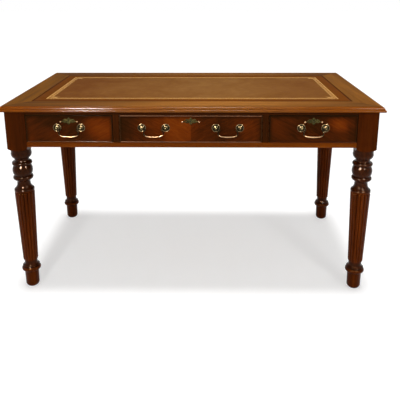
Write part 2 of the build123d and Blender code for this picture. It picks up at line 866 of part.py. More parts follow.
def post_nut(x):
    """The nut behind the drawer front."""
    nut = extrude(RegularPolygon(nut_flats / 2, 6, major_radius=False), nut_thickness)
    nut -= Cylinder(post_shank_radius + nut_thread_gap, 3 * nut_thickness)
    y = front_face_y + drawer_front_thickness + nut_thickness
    return Pos(x, y, handle_height) * Rot(90, 0, 0) * nut


def bail(x):
    """A swan-neck bail hanging from two posts, its ends turned into their bores."""
    end = handle_post_spacing / 2 + bail_end_gap
    half = [(end, 0), (bail_neck_half_span, 0), (bail_widest_half_span, -bail_shoulder_drop),
            (bail_foot_half_span, -bail_drop)]
    points = half + [(-px, pz) for px, pz in reversed(half)]
    bends = [bail_neck_bend, bail_shoulder_bend, bail_foot_bend]
    path = FilletPolyline(*[(x + px, ball_y, handle_height + pz) for px, pz in points],
                          radius=bends + bends[::-1])
    start = Plane(origin=path @ 0, z_dir=path % 0)
    return sweep(start * Circle(bail_radius), path)


# Assembly


def write_top():
    """The borders, with pilot holes for the buttons' screws, the core and the leather."""
    hole = screw_shape(button_length / 2, screw_fit_gap)
    pilots = [placed_button(hole, *place) for place in button_places()]
    front = border_board(table_width, half_depth)
    end = border_board(table_depth, half_width)
    write("top_border_front", front)
    drilled = {"back": Rot(0, 0, 180) * front, "right": Rot(0, 0, 90) * end, "left": Rot(0, 0, -90) * end}
    for name, board in drilled.items():
        for pilot in pilots:
            board -= pilot
        write("top_border_" + name, board)
    write("top_core", top_core())
    write("leather_panel", leather_panel())


def write_legs():
    """The four legs with their mortises."""
    blank = leg_blank()
    for side, side_name in ((-1, "left"), (1, "right")):
        front = [mortise_for(rail_tenon(side, opening_top, frieze_top), 0),
                 mortise_for(rail_tenon(side, frieze_bottom, opening_bottom), 0),
                 mortise_for(side_apron_tenon(side, -1), 1)]
        back = [mortise_for(back_apron_tenon(side), 0), mortise_for(side_apron_tenon(side, 1), 1)]
        write("leg_front_" + side_name, leg(blank, side, -1, front))
        write("leg_back_" + side_name, leg(blank, side, 1, back))


def write_frieze():
    """Aprons, rails, muntins and the drawers' running gear."""
    muntin_spans = [muntin_runner_span(side) for side in (-1, 1)]
    side_spans = [side_runner_span(side) for side in (-1, 1)]
    spans = muntin_spans + side_spans
    write("apron_left", side_apron(-1))
    write("apron_right", side_apron(1))
    write("apron_back", back_apron([mortise_for(runner_tenon(*span), 1) for span in spans]))
    write("front_top_rail", front_top_rail([bolt_mortise(name) for name in drawer_openings]))
    write("front_bottom_rail", front_bottom_rail())
    write("muntin_left", muntin(-1))
    write("muntin_right", muntin(1))
    runners = [runner(span) for span in muntin_spans]
    runners += [runner(span, side) for span, side in zip(side_spans, (-1, 1))]
    write("drawer_runners", *runners)
    guides = [muntin_guide(side) for side in (-1, 1)] + [side_guide(side) for side in (-1, 1)]
    write("drawer_guides", *guides)
    write("drawer_kickers", *[kicker(span) for span in spans])
    write("drawer_stops", *drawer_stops())
    write("top_buttons", *[button_at(*place) for place in button_places()])
    screw = screw_shape(button_length / 2, 0.0)
    write("button_screws", *[placed_button(screw, *place) for place in button_places()])


def write_drawer(name):
    """One drawer with its lock and handles."""
    write(name + "_drawer_front", drawer_front(name))
    write(name + "_drawer_sides", *drawer_sides(name))
    write(name + "_drawer_back", drawer_back(name))
    write(name + "_drawer_bottom", drawer_bottom(name))
    write(name + "_cock_bead", *cock_bead(name))
    write(name + "_escutcheon", escutcheon(name))
    write(name + "_lock_case", lock_case(name))
    write(name + "_lock_bolt", lock_bolt(name))
    places = post_places(name)
    write(name + "_rosettes", *[rosette(x) for x in places])
    posts = [handle_post(x) for x in places] + [post_nut(x) for x in places]
    write(name + "_handle_posts", *posts)
    for i, x in enumerate(handle_centres(name)):
        suffix = "" if name != "centre" else ("_left", "_right")[i]
        write(name + "_bail" + suffix, bail(x))


os.makedirs("parts", exist_ok=True)
write_top()
write_legs()
write_frieze()
for drawer_name in drawer_openings:
    write_drawer(drawer_name)
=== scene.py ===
import json
import math

import bpy
from mathutils import Matrix, Vector


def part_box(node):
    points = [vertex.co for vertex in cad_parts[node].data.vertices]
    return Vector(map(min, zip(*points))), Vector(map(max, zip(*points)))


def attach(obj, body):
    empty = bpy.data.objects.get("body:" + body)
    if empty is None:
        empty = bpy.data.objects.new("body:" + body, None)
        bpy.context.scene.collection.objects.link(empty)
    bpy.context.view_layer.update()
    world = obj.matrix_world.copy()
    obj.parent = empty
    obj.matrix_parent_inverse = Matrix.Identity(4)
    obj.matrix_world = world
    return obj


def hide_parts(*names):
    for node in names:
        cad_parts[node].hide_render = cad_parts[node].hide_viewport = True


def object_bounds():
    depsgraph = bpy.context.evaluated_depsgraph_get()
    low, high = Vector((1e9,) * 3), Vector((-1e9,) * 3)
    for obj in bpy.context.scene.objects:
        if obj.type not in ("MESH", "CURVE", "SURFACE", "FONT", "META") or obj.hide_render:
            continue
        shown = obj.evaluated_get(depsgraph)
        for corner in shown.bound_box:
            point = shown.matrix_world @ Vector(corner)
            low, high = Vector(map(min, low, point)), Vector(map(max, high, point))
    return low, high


# A library writing table: mahogany, tooled leather and aged brass. Metres, Z up, front towards -Y.
# Each finish is made of nodes that read the place on the object; new pieces are modelled with operators.

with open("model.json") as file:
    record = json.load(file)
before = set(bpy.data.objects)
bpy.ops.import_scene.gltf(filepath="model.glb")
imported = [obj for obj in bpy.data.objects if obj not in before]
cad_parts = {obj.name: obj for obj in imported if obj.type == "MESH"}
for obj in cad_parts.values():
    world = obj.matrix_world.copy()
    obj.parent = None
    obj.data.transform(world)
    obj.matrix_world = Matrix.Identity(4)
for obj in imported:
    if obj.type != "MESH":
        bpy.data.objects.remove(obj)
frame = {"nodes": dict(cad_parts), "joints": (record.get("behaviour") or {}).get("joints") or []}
cad_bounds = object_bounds()
nodes = frame["nodes"]
MM = 0.001

DRAWERS = ("left", "centre", "right")
BAILS = {"left_bail": "left_handle", "right_bail": "right_handle",
         "centre_bail_left": "centre_handle_left", "centre_bail_right": "centre_handle_right"}

# Places that the frame gives
LEATHER_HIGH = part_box("leather_panel")[1]
TOP_HIGH = cad_bounds[1]
TOP_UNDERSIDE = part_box("top_border_front")[0].z
FRONT_FACE_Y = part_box("front_top_rail")[0].y
BAIL_MIDDLE = {joint["child"]: Vector(joint["pos_m"]) for joint in frame["joints"] if "pos_m" in joint}


# Colour


def paint(red, green, blue):
    """A colour given as it looks on screen, from 0 to 255, for a shader."""
    linear = []
    for channel in (red, green, blue):
        share = channel / 255
        linear.append(share / 12.92 if share <= 0.04045 else ((share + 0.055) / 1.055) ** 2.4)
    return (*linear, 1.0)


class Finish:
    """A material being made up: its shader, and the nodes that feed it with numbers or sockets."""

    def __init__(self, name):
        self.material = bpy.data.materials.new(name)
        self.material.use_nodes = True
        self.tree = self.material.node_tree
        self.shader = self.tree.nodes["Principled BSDF"]
        self.place = self.node("ShaderNodeTexCoord").outputs["Object"]

    def node(self, kind, **settings):
        new = self.tree.nodes.new(kind)
        for key, value in settings.items():
            setattr(new, key, value)
        return new

    def feed(self, socket, value):
        if isinstance(value, bpy.types.NodeSocket):
            self.tree.links.new(value, socket)
        else:
            socket.default_value = value

    def sum(self, operation, first, second=0.0, third=0.0, clamp=False):
        """One step of arithmetic."""
        new = self.node("ShaderNodeMath", operation=operation, use_clamp=clamp)
        for socket, value in zip(new.inputs, (first, second, third)):
            self.feed(socket, value)
        return new.outputs[0]

    def moved(self, vector, location=(0, 0, 0), rotation=(0, 0, 0), scale=(1, 1, 1)):
        new = self.node("ShaderNodeMapping")
        self.feed(new.inputs["Vector"], vector)
        new.inputs["Location"].default_value = location
        new.inputs["Rotation"].default_value = rotation
        new.inputs["Scale"].default_value = scale
        return new.outputs[0]

    def noise(self, vector, scale=1.0, detail=3.0, roughness=0.5, distortion=0.0):
        new = self.node("ShaderNodeTexNoise")
        self.feed(new.inputs["Vector"], vector)
        new.inputs["Scale"].default_value = scale
        new.inputs["Detail"].default_value = detail
        new.inputs["Roughness"].default_value = roughness
        new.inputs["Distortion"].default_value = distortion
        return new.outputs["Fac"]

    def cells(self, vector, scale):
        new = self.node("ShaderNodeTexVoronoi")
        self.feed(new.inputs["Vector"], vector)
        new.inputs["Scale"].default_value = scale
        return new.outputs["Distance"]

    def span(self, value, low, high, to_low=0.0, to_high=1.0):
        """A value eased from one range to another, and held at its ends."""
        new = self.node("ShaderNodeMapRange", interpolation_type="SMOOTHSTEP")
        self.feed(new.inputs["Value"], value)
        for socket, number in zip(list(new.inputs)[1:5], (low, high, to_low, to_high)):
            socket.default_value = number
        return new.outputs["Result"]

    def ramp(self, value, *stops):
        """Colours by value, each stop a position and its colour."""
        new = self.node("ShaderNodeValToRGB")
        self.feed(new.inputs["Fac"], value)
        marks = new.color_ramp.elements
        while len(marks) < len(stops):
            marks.new(0.5)
        for mark, (position, colour) in zip(marks, stops):
            mark.position = position
            mark.color = colour
        return new.outputs["Color"]

    def mix(self, share, first, second):
        new = self.node("ShaderNodeMix", data_type="RGBA")
        sockets = [socket for socket in new.inputs if socket.enabled]
        for socket, value in zip(sockets, (share, first, second)):
            self.feed(socket, value)
        return [socket for socket in new.outputs if socket.enabled][0]

    def axes(self, vector):
        new = self.node("ShaderNodeSeparateXYZ")
        self.feed(new.inputs[0], vector)
        return new.outputs

    def point(self, x, y, z):
        new = self.node("ShaderNodeCombineXYZ")
        for socket, value in zip(new.inputs, (x, y, z)):
            self.feed(socket, value)
        return new.outputs[0]

    def from_ends(self, x, low, high):
        """How far a place is from the nearer end of a piece."""
        return self.sum("MINIMUM", self.sum("SUBTRACT", x, low.x), self.sum("SUBTRACT", high.x, x))

    def inside(self, x, y, corner):
        """How far a place is in from the ends, and from the long sides, of a panel centred on the table."""
        from_end = self.sum("SUBTRACT", corner.x, self.sum("ABSOLUTE", x))
        from_side = self.sum("SUBTRACT", corner.y, self.sum("ABSOLUTE", y))
        return from_end, from_side

    def patch(self, centre, reach):
        """1 at a place on the object, falling to 0 at a distance along each axis."""
        scale = tuple(1 / side for side in reach)
        start = tuple(-place * share for place, share in zip(centre, scale))
        away = self.node("ShaderNodeVectorMath", operation="LENGTH")
        self.feed(away.inputs[0], self.moved(self.place, location=start, scale=scale))
        return self.span(away.outputs["Value"], 1.0, 0.0)

    def bump(self, height, depth):
        new = self.node("ShaderNodeBump")
        new.inputs["Strength"].default_value = 1.0
        new.inputs["Distance"].default_value = depth
        self.feed(new.inputs["Height"], height)
        return new.outputs[0]

    def shade(self, **sockets):
        """Set or link the shader's sockets, an underscore standing for a space in their names."""
        for key, value in sockets.items():
            self.feed(self.shader.inputs[key.replace("_", " ")], value)
        return self.material


# Wood

MOULDING_WIDTH = 12.5 * MM
# Painted shade: the near black laid where shade falls, in gaps, quirks and under the top
PAINTED_SHADE = paint(14, 5, 1)

# A leg: its reeds, and the heights at which its finish changes
REEDS = 16.0
ANKLE_LOW = 88 * MM
REEDS_LOW = 125 * MM
REEDS_HIGH = 430 * MM
POST_LOW = 600 * MM
TURNED_HIGH = 607 * MM

# Flame veneer, from its darkest tone to its lightest
FLAME_SHADES = ((0.30, paint(26, 8, 1)), (0.44, paint(50, 18, 3)), (0.56, paint(76, 28, 4)),
                (0.70, paint(108, 42, 5)), (0.86, paint(132, 58, 10)))


def along(axis, length_wise, cross_wise):
    """The scale of a pattern that is drawn out along the grain."""
    scale = [cross_wise] * 3
    scale["XYZ".index(axis)] = length_wise
    return tuple(scale)


def grain(finish, axis, start):
    """Broad streaks, fine streaks and open pores that run along one axis."""
    place = finish.moved(finish.place, location=start)
    broad = finish.noise(finish.moved(place, scale=along(axis, 0.9, 11)), detail=4, distortion=0.6)
    streaks = finish.noise(finish.moved(place, scale=along(axis, 3.5, 75)), detail=6, roughness=0.62,
                           distortion=0.35)
    hairs = finish.noise(finish.moved(place, scale=along(axis, 22, 620)), detail=3)
    pores = finish.span(finish.noise(finish.moved(place, scale=along(axis, 75, 1500)), detail=1), 0.60, 0.72)
    return broad, streaks, hairs, pores


def figure(finish, broad, streaks, share=0.5):
    """The tone of straight-grained wood, from its broad and its fine streaks."""
    return finish.sum("ADD", finish.sum("MULTIPLY", broad, share), finish.sum("MULTIPLY", streaks, 1 - share))


def relief(finish, streaks, pores):
    """The height of a planed face, with its pores sunk."""
    return finish.sum("SUBTRACT", finish.sum("MULTIPLY", streaks, 0.35), pores)


def polish(finish, colour, pores, streaks, roughness=0.2, specular=0.12, wander=0.08, dulled=0.0):
    """French polish over wood, sunk a little into the pores, and rougher by the dulled share."""
    finish.shade(Base_Color=finish.mix(finish.sum("MULTIPLY", pores, 0.4), colour, paint(20, 7, 2)))
    gloss = finish.span(streaks, 0.2, 0.8, roughness, roughness + wander)
    finish.shade(Roughness=finish.sum("MULTIPLY_ADD", dulled, 0.45, gloss))
    finish.shade(Specular_IOR_Level=specular, Specular_Tint=(1.0, 0.42, 0.12, 1.0))
    return finish.shade(Normal=finish.bump(relief(finish, streaks, pores), 0.04 * MM))


def mahogany(name, axis, start, dark, middle, light):
    """Straight-grained polished mahogany."""
    finish = Finish(name)
    broad, streaks, hairs, pores = grain(finish, axis, start)
    tone = figure(finish, broad, streaks, 0.55)
    colour = finish.ramp(tone, (0.34, dark), (0.5, middle), (0.66, light))
    colour = finish.mix(finish.span(hairs, 0.35, 0.7, 0.0, 0.35), colour, dark)
    return polish(finish, colour, pores, streaks)


def golden_top(name, axis, start, worn, dark, middle, light):
    """Border board: satin and lighter where arms rub it, and glossy and redder on the moulded edge."""
    finish = Finish(name)
    broad, streaks, hairs, pores = grain(finish, axis, start)
    tone = figure(finish, broad, streaks, 0.55)
    handled = finish.patch((0.08, -0.3, 0.78), (0.84, 1.2, 1.0))
    tone = finish.sum("MULTIPLY_ADD", handled, worn, finish.sum("SUBTRACT", tone, worn * 0.55))
    colour = finish.ramp(tone, (0.26, dark), (0.5, middle), (0.74, light))
    colour = finish.mix(finish.span(hairs, 0.35, 0.7, 0.0, 0.25), colour, dark)
    x, y, z = finish.axes(finish.place)
    inward = finish.sum("MINIMUM", *finish.inside(x, y, TOP_HIGH))
    edge = finish.span(inward, MOULDING_WIDTH + 2 * MM, MOULDING_WIDTH)
    underside_shade = finish.span(z, TOP_UNDERSIDE + 2 * MM, TOP_UNDERSIDE)
    reddened = finish.sum("MULTIPLY", edge, finish.sum("MULTIPLY_ADD", handled, -0.42, 0.80))
    colour = finish.mix(reddened, colour, paint(132, 64, 7))
    # Painted shade on the underside and the lowest edge of the board
    colour = finish.mix(finish.sum("MULTIPLY", underside_shade, 0.8), colour, paint(46, 20, 7))
    finish.shade(Base_Color=finish.mix(finish.sum("MULTIPLY", pores, 0.35), colour, paint(40, 20, 8)))
    satin = finish.span(streaks, 0.2, 0.8, 0.66, 0.78)
    flat = finish.sum("MULTIPLY", satin, finish.sum("SUBTRACT", 1.0, edge))
    finish.shade(Roughness=finish.sum("MULTIPLY_ADD", edge, 0.24, flat))
    finish.shade(Specular_IOR_Level=0.025, Specular_Tint=(1.0, 0.7, 0.45, 1.0))
    from_middle = finish.sum("ABSOLUTE", finish.sum("ADD", x, 0.06))
    gloss = finish.sum("MULTIPLY", edge, finish.span(from_middle, 0.62, 0.44, 0.012, 0.12))
    finish.shade(Coat_Weight=gloss, Coat_Roughness=0.12)
    smoothed = finish.sum("MULTIPLY_ADD", edge, -0.8, 1.0)
    height = finish.sum("MULTIPLY", relief(finish, streaks, pores), smoothed)
    return finish.shade(Normal=finish.bump(height, 0.03 * MM))


def flame_mahogany(name, join, start, patches, low, high):
    """Flame veneer: feathers mirrored about a join, which may lie off the drawer, and painted shade at the
    beads.

    Each patch is a place, its reach along each axis, and how much lighter the veneer is there.
    """
    finish = Finish(name)
    x, y, z = finish.axes(finish.place)
    across = finish.sum("SUBTRACT", x, join)
    folded = finish.sum("ABSOLUTE", across)
    feather = finish.point(folded, y, finish.sum("SUBTRACT", z, finish.sum("MULTIPLY", folded, 0.55)))
    feather = finish.moved(feather, location=start)
    warp = finish.noise(finish.moved(feather, scale=(7, 7, 5)), detail=3, distortion=1.2)
    swept = finish.moved(feather, rotation=(0, 0.5, 0), scale=(6, 6, 38))
    plumes = finish.noise(swept, detail=7, roughness=0.6, distortion=2.4)
    banded = finish.moved(feather, rotation=(0, 0.35, 0), scale=(20, 20, 150))
    bands = finish.noise(banded, detail=4, distortion=1.0)
    hairs = finish.noise(finish.moved(feather, rotation=(0, 0.5, 0), scale=(60, 60, 900)), detail=2)
    pores = finish.span(finish.noise(finish.moved(feather, scale=(1100, 1100, 260)), detail=1), 0.63, 0.74)
    tone = finish.sum("ADD", finish.sum("MULTIPLY", plumes, 0.34), finish.sum("MULTIPLY", warp, 0.36))
    tone = finish.sum("MULTIPLY_ADD", bands, 0.12, finish.sum("ADD", tone, 0.09))
    right_leaf = finish.span(across, -0.0004, 0.0004)
    beside_join = finish.span(across, 0.20, 0.02)
    tone = finish.sum("MULTIPLY_ADD", finish.sum("MULTIPLY", right_leaf, beside_join), -0.13, tone)
    for centre, reach, strength in patches:
        tone = finish.sum("MULTIPLY_ADD", finish.patch(centre, reach), strength, tone)
    colour = finish.ramp(tone, *FLAME_SHADES)
    colour = finish.mix(finish.span(hairs, 0.4, 0.7, 0.0, 0.3), colour, FLAME_SHADES[0][1])
    from_end = finish.from_ends(x, low, high)
    # Painted shade beside the side beads, and painted shadow of the top along the top bead
    side_shade = finish.span(finish.sum("MULTIPLY_ADD", warp, 0.006, from_end), 0.019, 0.006)
    top_shadow = finish.span(finish.sum("SUBTRACT", high.z, z), 0.019, 0.004)
    bead_shade = finish.sum("MAXIMUM", side_shade, top_shadow)
    colour = finish.mix(finish.sum("MULTIPLY", bead_shade, 0.62), colour, paint(20, 7, 1))
    return polish(finish, colour, pores, plumes)


def bead_mahogany(name, low, high, shade, gloss, wear_and_highlight):
    """Cock bead round a drawer: long strips painted lighter as highlight and polished, short ones painted
    dark as shade.

    The shade is how dark the top strip is painted too, as the top's shadow.
    """
    finish = Finish(name)
    broad, streaks, _, pores = grain(finish, "X", (low.x, 0.9, 0.5))
    tone = figure(finish, broad, streaks)
    colour = finish.ramp(tone, (0.34, paint(40, 16, 4)), (0.5, paint(66, 28, 9)), (0.66, paint(92, 44, 16)))
    # Painted highlight: the bead is lightened all along by its share
    colour = finish.mix(wear_and_highlight, colour, paint(158, 102, 64))
    x, _, z = finish.axes(finish.place)
    upright = finish.span(finish.from_ends(x, low, high), 4.0 * MM, 3.2 * MM)
    # Painted shade in the gaps beside the upright strips
    colour = finish.mix(finish.sum("MULTIPLY", upright, 0.85), colour, PAINTED_SHADE)
    shaded = finish.sum("MULTIPLY", finish.span(z, high.z - 5.0 * MM, high.z - 4.0 * MM), shade)
    # Painted shadow of the top on the top strip
    colour = finish.mix(shaded, colour, PAINTED_SHADE)
    dulled = finish.sum("MAXIMUM", upright, shaded)
    bright = finish.sum("SUBTRACT", 1.0, dulled, clamp=True)
    finish.shade(Coat_Weight=finish.sum("MULTIPLY", bright, gloss), Coat_Roughness=0.12)
    return polish(finish, colour, pores, streaks, roughness=0.25, specular=0.05, wander=0.02, dulled=dulled)


def leg_mahogany(name, middle):
    """Polished leg: grain up the leg, painted shade between the reeds and in the quirks, turnings painted
    darker as shade, glints on the turnings.
    """
    finish = Finish(name)
    start = (middle.x * 3.1, middle.y * 2.3, 0.4)
    broad, streaks, hairs, pores = grain(finish, "Z", start)
    tone = figure(finish, broad, streaks, 0.6)
    colour = finish.ramp(tone, (0.34, paint(56, 20, 2)), (0.5, paint(90, 35, 4)), (0.66, paint(118, 52, 9)))
    x, y, z = finish.axes(finish.moved(finish.place, location=(-middle.x, -middle.y, 0)))
    turn = finish.sum("ARCTAN2", y, x)
    crest = finish.sum("COSINE", finish.sum("MULTIPLY", turn, REEDS))
    valley = finish.span(crest, 0.1, -0.9)
    above_ankle = finish.span(z, REEDS_LOW - 20 * MM, REEDS_LOW)
    below_turnings = finish.span(z, REEDS_HIGH, REEDS_HIGH - 5 * MM)
    # Painted shade in the valleys between the reeds
    reed_shade = finish.sum("MULTIPLY", finish.sum("MULTIPLY", above_ankle, below_turnings), valley)
    colour = finish.mix(finish.sum("MULTIPLY", reed_shade, 0.12), colour, paint(22, 8, 2))
    hollow = finish.node("ShaderNodeAmbientOcclusion", samples=8, only_local=True)
    hollow.inputs["Distance"].default_value = 12 * MM
    turned = finish.span(z, REEDS_HIGH, REEDS_HIGH + 6 * MM)
    ringed = finish.sum("MAXIMUM", turned, finish.span(z, REEDS_LOW, REEDS_LOW - 10 * MM))
    # Painted shade in the quirks of the turnings and the ankle, where occlusion finds hollows
    quirk_shade = finish.sum("MULTIPLY", ringed, finish.span(hollow.outputs["AO"], 0.95, 0.5, 0.25, 1.0))
    colour = finish.mix(finish.sum("MULTIPLY", quirk_shade, 0.85), colour, PAINTED_SHADE)
    lathed = finish.sum("MULTIPLY", ringed, finish.span(z, TURNED_HIGH, TURNED_HIGH - 6 * MM))
    lathed = finish.sum("MULTIPLY", lathed, finish.span(z, ANKLE_LOW, ANKLE_LOW + 10 * MM))
    # Painted shade: the turnings are painted darker all over
    colour = finish.mix(finish.sum("MULTIPLY", lathed, 0.58), colour, paint(28, 9, 1))
    finish.shade(Coat_Weight=finish.sum("MULTIPLY", lathed, 0.08), Coat_Roughness=0.09)
    post = finish.span(z, POST_LOW, POST_LOW + 40 * MM)
    colour = finish.mix(finish.sum("MULTIPLY", post, 0.30), colour, paint(50, 18, 4))
    colour = finish.mix(finish.span(hairs, 0.35, 0.7, 0.0, 0.3), colour, paint(34, 12, 3))
    return polish(finish, colour, pores, streaks, roughness=0.14, specular=0.075, wander=0.03)


def bare_wood(name, axis, start, dark, light, roughness=0.6):
    """Unpolished wood inside the table."""
    finish = Finish(name)
    broad, streaks, hairs, pores = grain(finish, axis, start)
    colour = finish.ramp(figure(finish, broad, streaks), (0.35, dark), (0.65, light))
    colour = finish.mix(finish.sum("MULTIPLY", pores, 0.5), colour, dark)
    finish.shade(Base_Color=colour, Roughness=finish.span(hairs, 0.3, 0.7, roughness - 0.08, roughness + 0.1))
    return finish.shade(Specular_IOR_Level=0.25, Normal=finish.bump(streaks, 0.06 * MM))


# Leather and gilding


def leather(name):
    """Waxed hide: a fine pebble, cloudy colour and a redder margin outside the tooling."""
    finish = Finish(name)
    clouds = finish.noise(finish.place, scale=4.5, detail=5, roughness=0.6, distortion=0.6)
    mottle = finish.noise(finish.place, scale=38, detail=4, roughness=0.65)
    tone = finish.sum("ADD", finish.sum("MULTIPLY", clouds, 0.6), finish.sum("MULTIPLY", mottle, 0.4))
    wear_and_highlight = finish.patch((0.10, 0.05, 0.785), (0.80, 1.2, 1.0))
    tone = finish.sum("MULTIPLY_ADD", wear_and_highlight, 0.27, finish.sum("SUBTRACT", tone, 0.19))
    field = finish.ramp(tone, (0.3, paint(104, 60, 22)), (0.5, paint(121, 78, 35)), (0.7, paint(135, 93, 47)))
    margin = finish.ramp(tone, (0.3, paint(98, 51, 5)), (0.5, paint(108, 57, 7)), (0.7, paint(118, 64, 10)))
    x, y, _ = finish.axes(finish.place)
    from_end, from_side = finish.inside(x, y, LEATHER_HIGH)
    outside = finish.span(finish.sum("MINIMUM", from_end, from_side), 62 * MM, 46 * MM)
    colour = finish.mix(outside, field, margin)
    grimy = finish.sum("MINIMUM", from_end, finish.sum("MULTIPLY", from_side, 0.5))
    rim = finish.span(grimy, 7.0 * MM, 1.5 * MM)
    colour = finish.mix(finish.sum("MULTIPLY", rim, 0.95), colour, paint(46, 16, 4))
    pebble = finish.cells(finish.place, 1100.0)
    creases = finish.noise(finish.place, scale=420, detail=3, distortion=0.8)
    height = finish.sum("ADD", pebble, finish.sum("MULTIPLY", creases, 0.5))
    finish.shade(Base_Color=colour, Roughness=finish.span(mottle, 0.3, 0.7, 0.74, 0.86))
    finish.shade(Specular_IOR_Level=0.02, Specular_Tint=(1.0, 0.7, 0.45, 1.0))
    return finish.shade(Normal=finish.bump(height, 0.06 * MM))


def gold_leaf(name):
    """Gold leaf pressed into leather, a little worn."""
    finish = Finish(name)
    rub = finish.noise(finish.place, scale=260, detail=4, roughness=0.7)
    colour = finish.ramp(rub, (0.30, paint(140, 92, 28)), (0.46, paint(190, 136, 48)),
                         (0.7, paint(222, 172, 78)))
    finish.shade(Base_Color=colour, Metallic=0.25)
    return finish.shade(Roughness=finish.span(rub, 0.3, 0.7, 0.46, 0.6), Specular_IOR_Level=0.15)


# Metal


def brass(name, bright, dull, wear, roughness):
    """Lacquered brass with brown tarnish that gathers in clouds."""
    finish = Finish(name)
    clouds = finish.noise(finish.place, scale=55, detail=5, roughness=0.65, distortion=0.4)
    specks = finish.noise(finish.place, scale=620, detail=3, roughness=0.7)
    tarnish = finish.sum("ADD", finish.sum("MULTIPLY", clouds, 0.7), finish.sum("MULTIPLY", specks, 0.3))
    colour = finish.mix(finish.span(tarnish, wear, wear + 0.2), bright, dull)
    finish.shade(Base_Color=colour, Metallic=1.0)
    finish.shade(Roughness=finish.span(tarnish, 0.3, 0.7, roughness, roughness + 0.14))
    return finish.shade(Normal=finish.bump(specks, 0.01 * MM))


def grip_brass(name, hinge_z):
    """Bail brass: bright along the foot, rubbed by fingers and lightened as painted highlight, and painted
    dark on the arms as shade.
    """
    finish = Finish(name)
    clouds = finish.noise(finish.place, scale=70, detail=5, roughness=0.65, distortion=0.4)
    specks = finish.noise(finish.place, scale=620, detail=3, roughness=0.7)
    _, _, z = finish.axes(finish.place)
    height = finish.sum("MULTIPLY_ADD", clouds, 0.012, z)
    # Painted shade on the arms, and the foot lightened partly as painted highlight
    arm_shade = finish.span(height, hinge_z - 24 * MM, hinge_z - 19 * MM)
    foot = finish.mix(finish.span(clouds, 0.42, 0.64), paint(148, 116, 84), paint(112, 85, 56))
    colour = finish.mix(arm_shade, foot, paint(26, 20, 10))
    finish.shade(Base_Color=colour, Metallic=1.0, Roughness=finish.span(clouds, 0.3, 0.7, 0.28, 0.42))
    return finish.shade(Normal=finish.bump(specks, 0.01 * MM))


def lock_steel(name, axis):
    """Drawn steel with rust-brown dulling."""
    finish = Finish(name)
    drawn = finish.noise(finish.moved(finish.place, scale=along(axis, 40, 1400)), detail=3)
    stains = finish.noise(finish.place, scale=45, detail=5, roughness=0.65)
    colour = finish.mix(finish.span(stains, 0.42, 0.7), paint(150, 146, 138), paint(96, 82, 66))
    finish.shade(Base_Color=colour, Metallic=1.0, Roughness=finish.span(drawn, 0.3, 0.7, 0.3, 0.48))
    return finish.shade(Normal=finish.bump(drawn, 0.01 * MM))


def dress(material, *names):
    """Give CAD nodes a finish."""
    for name in names:
        for slot in nodes[name].material_slots:
            slot.material = material


# Modelling by hand


def start_piece():
    """Leave edit mode with nothing selected, so that the next operator acts on its own piece alone."""
    if bpy.context.object and bpy.context.object.mode == "EDIT":
        bpy.ops.object.mode_set(mode="OBJECT")
    bpy.ops.object.select_all(action="DESELECT")


def settle(piece, name, material, body):
    """Put the piece's place in its mesh, name it, finish it and let it ride on its body.

    With no material given, the piece keeps the ones that it has.
    """
    start_piece()
    piece.select_set(True)
    bpy.context.view_layer.objects.active = piece
    bpy.ops.object.transform_apply(location=True, rotation=True, scale=True)
    piece.name = name
    piece.data.name = name
    if material is not None:
        piece.data.materials.clear()
        piece.data.materials.append(material)
    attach(piece, body)
    return piece


def joined(pieces):
    """Join several pieces into the first."""
    start_piece()
    for piece in pieces:
        piece.select_set(True)
    bpy.context.view_layer.objects.active = pieces[0]
    bpy.ops.object.join()
    return bpy.context.object


def smooth(piece, degrees):
    """Shade a piece smooth, except at edges sharper than this."""
    start_piece()
    piece.select_set(True)
    bpy.context.view_layer.objects.active = piece
    bpy.ops.object.shade_smooth_by_angle(angle=math.radians(degrees))
    return piece


def lathe(outline, sides=48):
    """Turn an outline of (radius, height) pairs, in millimetres, from the rim to the middle, about +Z."""
    start_piece()
    radius, height = outline[0]
    bpy.ops.mesh.primitive_circle_add(vertices=sides, radius=radius * MM, location=(0, 0, height * MM))
    piece = bpy.context.object
    bpy.ops.object.transform_apply(location=True, rotation=False, scale=False)
    bpy.ops.object.mode_set(mode="EDIT")
    bpy.ops.mesh.select_all(action="SELECT")
    for next_radius, next_height in outline[1:]:
        ratio = next_radius / radius
        rise = (0, 0, (next_height - height) * MM)
        bpy.ops.mesh.extrude_region_move(TRANSFORM_OT_translate={"value": rise})
        bpy.ops.transform.resize(value=(ratio, ratio, 1), center_override=(0, 0, next_height * MM))
        radius, height = next_radius, next_height
    bpy.ops.mesh.select_all(action="SELECT")
    bpy.ops.mesh.normals_make_consistent(inside=False)
    bpy.ops.object.mode_set(mode="OBJECT")
    return piece


def stand_on_front(piece, x, z):
    """Turn a piece made along +Z to face the front, and put it on the drawer fronts' plane."""
    piece.rotation_euler = (math.pi / 2, 0, 0)
    piece.location = (x, FRONT_FACE_Y, z)


# Brasses

# A rosette from its rim to its middle: radius and height, and where it is hollow, in millimetres
ROSETTE_OUTLINE = [(15.2, 0.0), (16.0, 0.7), (15.9, 1.6), (15.0, 2.5), (13.9, 2.7), (13.0, 2.1), (12.6, 1.3),
                   (11.2, 0.9), (9.6, 1.0), (8.7, 1.5), (8.3, 2.3), (7.7, 2.9), (6.9, 2.9), (6.2, 2.5),
                   (5.6, 2.7), (5.0, 3.3), (3.4, 3.5), (2.6, 3.5)]
HOLLOWS = ((5.6, 7.0), (9.0, 13.2))
POST_SPACING = 92 * MM


def post_places(name):
    """The x and z of each handle post of a drawer, from the handles' hinges."""
    middles = sorted((middle.x, middle.z) for body, middle in BAIL_MIDDLE.items() if body.startswith(name))
    return [(x + side * POST_SPACING / 2, z) for x, z in middles for side in (-1, 1)]


